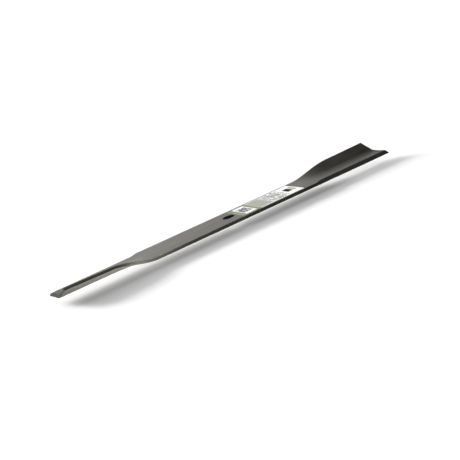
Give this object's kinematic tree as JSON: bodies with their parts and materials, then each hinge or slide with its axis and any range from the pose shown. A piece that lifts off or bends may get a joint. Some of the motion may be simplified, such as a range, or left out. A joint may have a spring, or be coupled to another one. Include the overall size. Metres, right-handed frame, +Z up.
{
  "type": "rotary mower blade",
  "caption": "Flat steel rotary mower blade with a round centre spindle hole, upswept lift wings, ground leading edges and a plain printed label.",
  "frame": {"origin": "axis of the spindle hole, on the flat underside", "axes": "+X along the blade towards the labelled end, +Y across it, +Z up through the spindle hole to the side that the wings rise on"},
  "size_m": [0.566, 0.0636, 0.0187],
  "materials": {
    "steel": "dark grey rolled and oiled steel, satin, with ground bevels",
    "label": "white printed label with pale green and grey fields"
  },
  "bodies": {
    "root": {"blade": "steel", "label": "label"}
  },
  "joints": []
}
